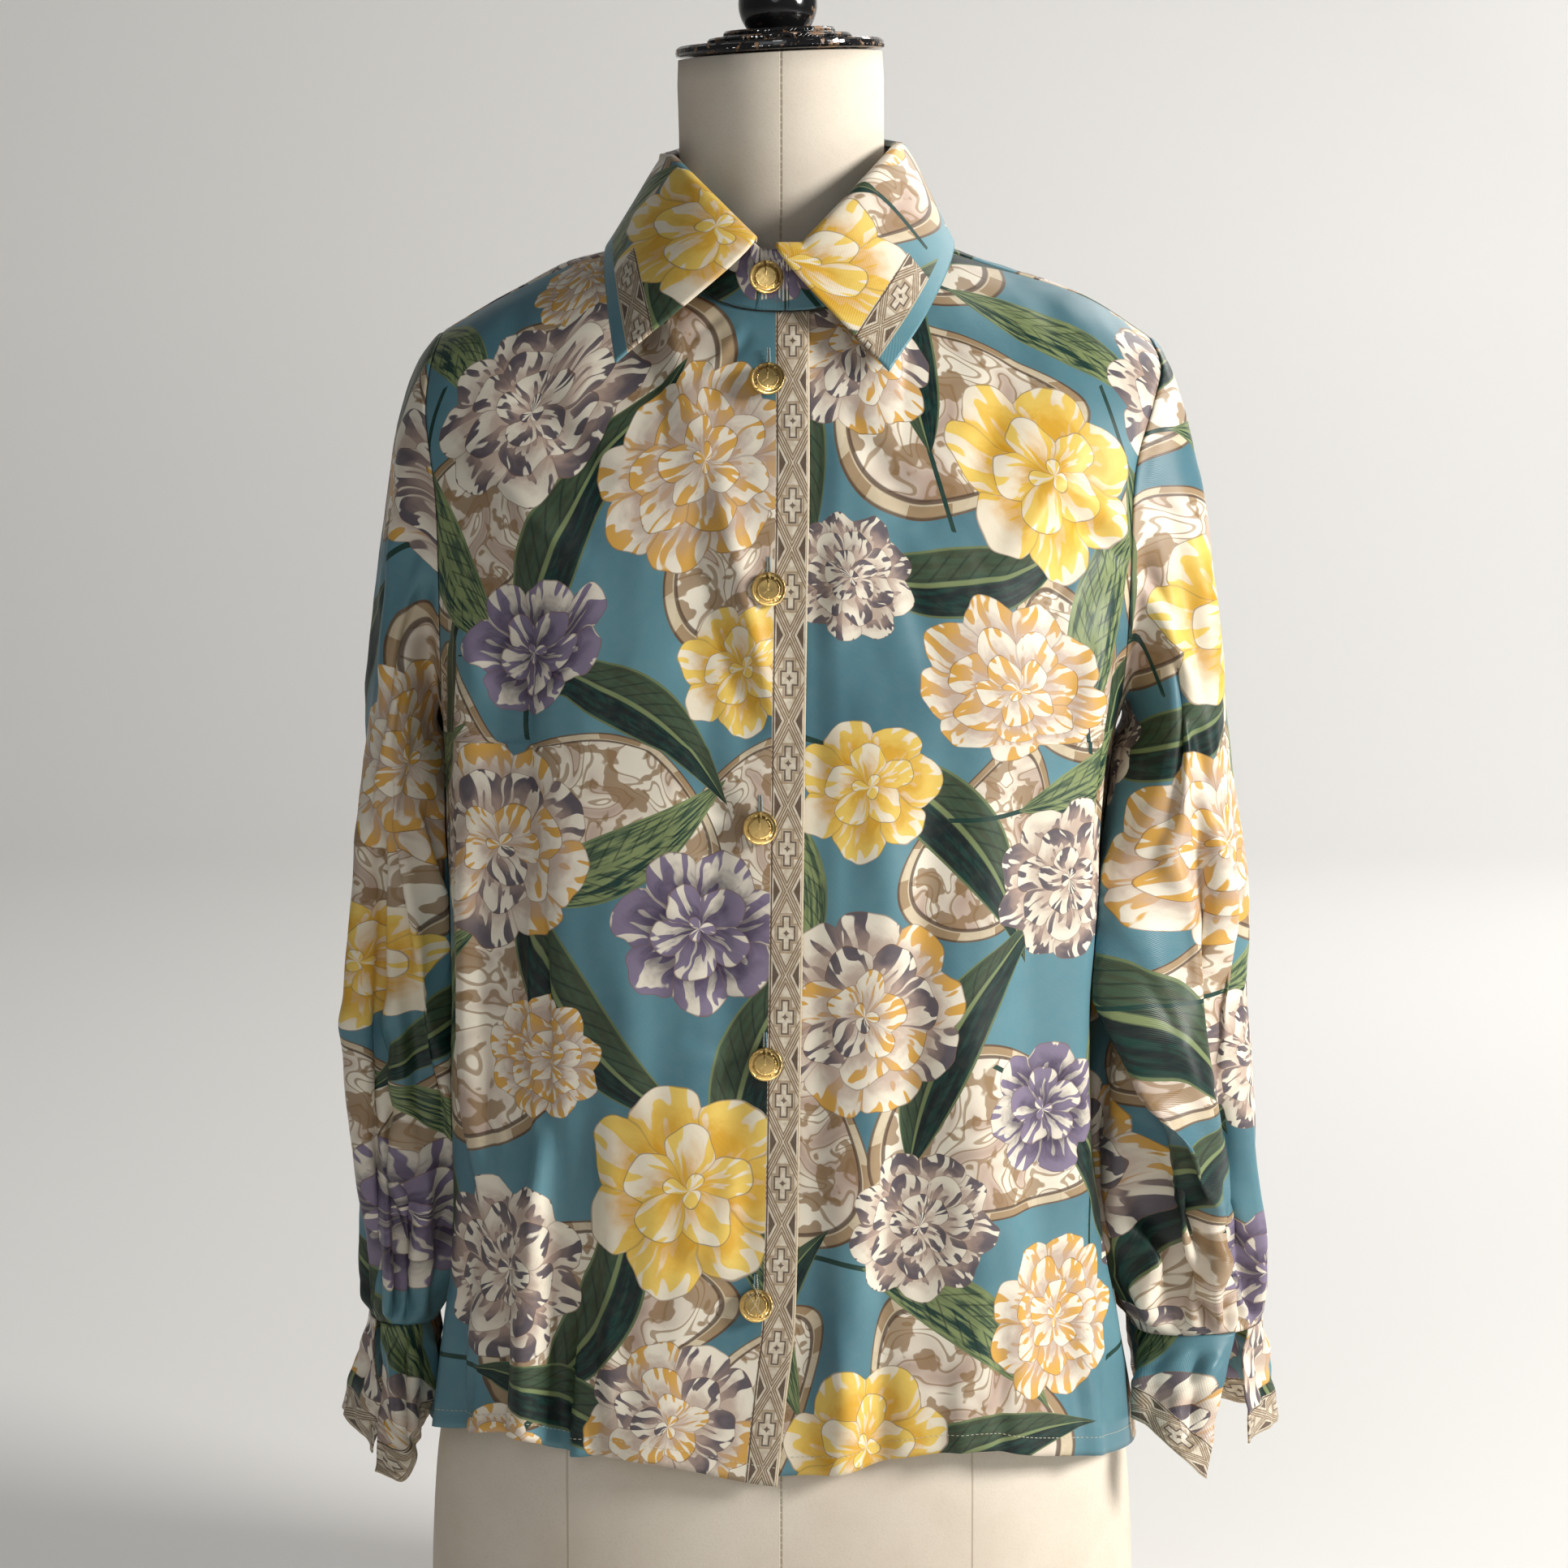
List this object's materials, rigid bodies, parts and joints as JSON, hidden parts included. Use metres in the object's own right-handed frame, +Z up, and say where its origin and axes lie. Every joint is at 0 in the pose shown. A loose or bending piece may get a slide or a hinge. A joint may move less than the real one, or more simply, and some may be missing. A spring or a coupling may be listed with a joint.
{
  "type": "silk blouse on a dress form",
  "caption": "Long-sleeved button-front silk blouse with a pointed collar and open cuffs, worn by a limbless canvas dress form with a black neck cap.",
  "frame": {"origin": "centre of the dress form's flat underside", "axes": "+Z up, -Y towards the front of the blouse, +X towards the wearer's left"},
  "size_m": [0.4954, 0.2432, 0.8995],
  "materials": {
    "silk": "printed silk twill with a soft sheen",
    "gilt": "polished gilt metal",
    "canvas": "stretched cream canvas",
    "black_gloss": "black gloss paint on turned wood, worn at the edges"
  },
  "bodies": {
    "root": {"front_right": "silk", "front_left": "silk", "back": "silk", "sleeve_right": "silk", "sleeve_left": "silk", "cuff_right": "silk", "cuff_left": "silk", "collar_stand": "silk", "collar": "silk", "button_1": "gilt", "button_2": "gilt", "button_3": "gilt", "button_4": "gilt", "button_5": "gilt", "button_6": "gilt", "form_torso": "canvas", "form_neck_cap": "black_gloss", "form_finial": "black_gloss"}
  },
  "joints": []
}
